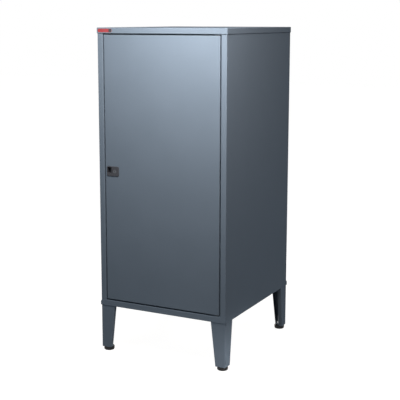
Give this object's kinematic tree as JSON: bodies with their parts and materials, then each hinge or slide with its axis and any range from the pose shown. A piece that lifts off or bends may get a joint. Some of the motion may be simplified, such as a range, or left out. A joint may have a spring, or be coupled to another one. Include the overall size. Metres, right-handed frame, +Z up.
{
  "type": "tool chest side locker",
  "caption": "Free-standing sheet-steel side locker with a hinged full-height door, a key lock with a finger recess, inner shelves, a proud base rim and tapered legs on levelling feet.",
  "frame": {"origin": "on the floor, under the middle of the cabinet", "axes": "+Z up, +X to the right of someone facing the door, the door faces -Y"},
  "size_m": [0.4506, 0.4986, 1.046],
  "materials": {
    "blue_grey_paint": "satin powder coat",
    "zinc_steel": "bright zinc plate",
    "lock_plastic": "fine moulded texture",
    "foot_plastic": "moulded black",
    "nickel": "dull nickel plate",
    "nylon": "black nylon",
    "rubber": "matt",
    "label_red": "gloss foil"
  },
  "bodies": {
    "cabinet": {"back_panel": "blue_grey_paint", "back_rivets": "zinc_steel", "base_tray": "blue_grey_paint", "door_buffers": "rubber", "floor_pan": "blue_grey_paint", "foot_plates": "blue_grey_paint", "front_left_leg": "blue_grey_paint", "front_right_leg": "blue_grey_paint", "header_rail": "blue_grey_paint", "label_plate": "label_red", "latch_keeper": "zinc_steel", "left_front_pilaster": "zinc_steel", "left_rear_pilaster": "zinc_steel", "left_side_panel": "blue_grey_paint", "leg_bolts": "zinc_steel", "leg_nuts": "zinc_steel", "lower_hinge_bracket": "blue_grey_paint", "lower_hinge_pin": "zinc_steel", "lower_shelf": "blue_grey_paint", "middle_shelf": "blue_grey_paint", "rear_left_leg": "blue_grey_paint", "rear_right_leg": "blue_grey_paint", "right_front_pilaster": "zinc_steel", "right_rear_pilaster": "zinc_steel", "right_side_panel": "blue_grey_paint", "shelf_clips": "zinc_steel", "sill_rail": "blue_grey_paint", "top_cap": "blue_grey_paint", "upper_hinge_bracket": "blue_grey_paint", "upper_hinge_pin": "zinc_steel", "upper_shelf": "blue_grey_paint", "weld_nuts": "zinc_steel"},
    "door": {"door_panel": "blue_grey_paint", "door_stiffener": "blue_grey_paint", "lock_housing": "lock_plastic", "lock_retainer": "zinc_steel", "lower_hinge_bush": "nylon", "upper_hinge_bush": "nylon"},
    "key_cylinder": {"lock_cylinder": "nickel", "latch_cam": "zinc_steel", "cam_screw": "zinc_steel"},
    "front_left_foot": {"front_left_foot_pad": "foot_plastic", "front_left_foot_stud": "zinc_steel"},
    "front_right_foot": {"front_right_foot_pad": "foot_plastic", "front_right_foot_stud": "zinc_steel"},
    "rear_left_foot": {"rear_left_foot_pad": "foot_plastic", "rear_left_foot_stud": "zinc_steel"},
    "rear_right_foot": {"rear_right_foot_pad": "foot_plastic", "rear_right_foot_stud": "zinc_steel"}
  },
  "joints": [
    {"name": "door_hinge", "type": "hinge", "parent": "cabinet", "child": "door", "pos_m": [0.193, -0.2387, 0.6], "axis": [0, 0, 1], "range_deg": [0, 105]},
    {"name": "key_turn", "type": "hinge", "parent": "door", "child": "key_cylinder", "pos_m": [-0.166, -0.23, 0.597], "axis": [0, 1, 0], "range_deg": [0, 90]},
    {"name": "front_left_foot_screw", "type": "slide", "parent": "cabinet", "child": "front_left_foot", "axis": [0, 0, -1], "range_m": [0, 0.012]},
    {"name": "front_right_foot_screw", "type": "slide", "parent": "cabinet", "child": "front_right_foot", "axis": [0, 0, -1], "range_m": [0, 0.012]},
    {"name": "rear_left_foot_screw", "type": "slide", "parent": "cabinet", "child": "rear_left_foot", "axis": [0, 0, -1], "range_m": [0, 0.012]},
    {"name": "rear_right_foot_screw", "type": "slide", "parent": "cabinet", "child": "rear_right_foot", "axis": [0, 0, -1], "range_m": [0, 0.012]}
  ]
}
